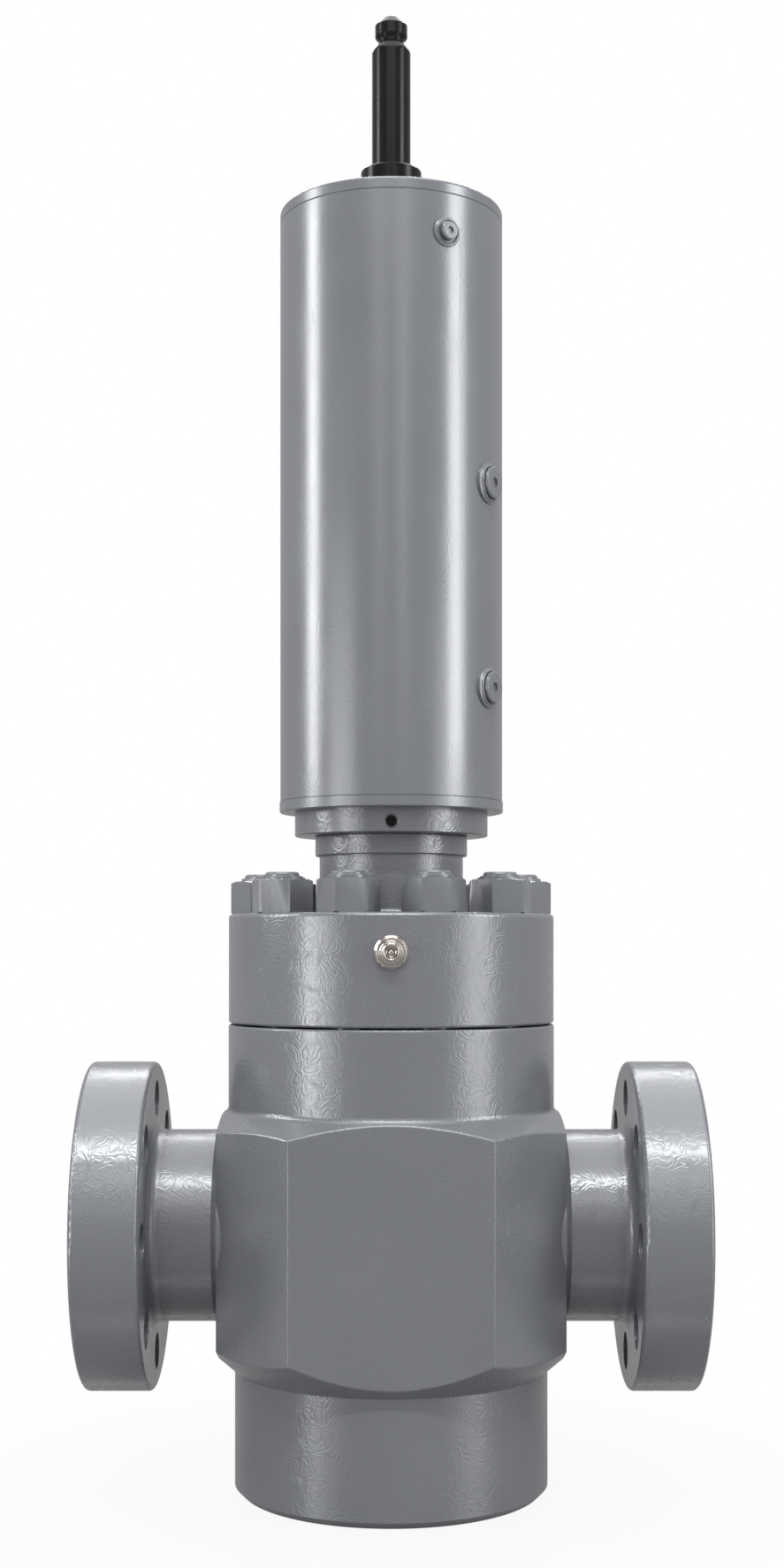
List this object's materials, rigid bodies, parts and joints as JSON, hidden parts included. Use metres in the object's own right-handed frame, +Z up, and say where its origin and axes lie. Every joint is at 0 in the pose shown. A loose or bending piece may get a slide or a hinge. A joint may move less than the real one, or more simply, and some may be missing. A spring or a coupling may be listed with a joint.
{
  "type": "wellhead gate valve",
  "caption": "Flanged slab gate valve with a bolted bonnet and a tall spring-return actuator, closed, with its indicator shaft standing out of the top.",
  "frame": {"origin": "centre of the flat underside of the valve's round base", "axes": "+Z up along the stem, +X along the flow line to the outlet, -Y to the grease fitting's side"},
  "size_m": [0.584, 0.3278, 1.4023],
  "materials": {
    "grey_paint": "satin",
    "black_oxide": "satin",
    "nickel_plate": "polished",
    "machined_steel": "machined",
    "spring_steel": "satin",
    "seal_rubber": "matt",
    "bearing_bronze": "machined"
  },
  "bodies": {
    "valve": {"valve_body": "grey_paint", "bonnet": "grey_paint", "bonnet_studs": "grey_paint", "bonnet_nuts": "grey_paint", "lock_ring": "grey_paint", "actuator_adapter": "grey_paint", "lower_head": "grey_paint", "spring_housing": "grey_paint", "port_bosses": "grey_paint", "port_plugs": "grey_paint", "vent_plug": "grey_paint", "top_cap": "grey_paint", "shaft_gland": "black_oxide", "adapter_set_screws": "black_oxide", "grease_fitting": "nickel_plate", "seat_inlet": "machined_steel", "seat_outlet": "machined_steel", "gate_guides": "machined_steel", "bonnet_seal_ring": "machined_steel", "packing_gland": "machined_steel", "stop_tube": "machined_steel", "lower_spring_seat": "machined_steel", "adapter_screws": "machined_steel", "seat_seals": "seal_rubber", "stem_packing": "seal_rubber", "lower_head_seal": "seal_rubber", "top_cap_seal": "seal_rubber", "shaft_seal": "seal_rubber", "shaft_bushing": "bearing_bronze"},
    "stem_train": {"top_shaft": "black_oxide", "piston": "machined_steel", "piston_seals": "seal_rubber", "piston_wear_ring": "bearing_bronze", "piston_rod": "machined_steel", "stem_coupling": "machined_steel", "stem": "machined_steel", "gate": "machined_steel", "return_spring": "spring_steel"},
    "check_ball": {"grease_check_ball": "nickel_plate"}
  },
  "joints": [
    {"name": "gate_stroke", "type": "slide", "parent": "valve", "child": "stem_train", "axis": [0, 0, -1], "range_m": [0, 0.115], "stiffness_N_per_m": 50000, "springref_m": -0.1, "deforming": ["return_spring"]},
    {"name": "check_ball_lift", "type": "slide", "parent": "valve", "child": "check_ball", "axis": [0, 1, 0], "range_m": [0, 0.0015], "stiffness_N_per_m": 500, "springref_m": -0.002}
  ]
}
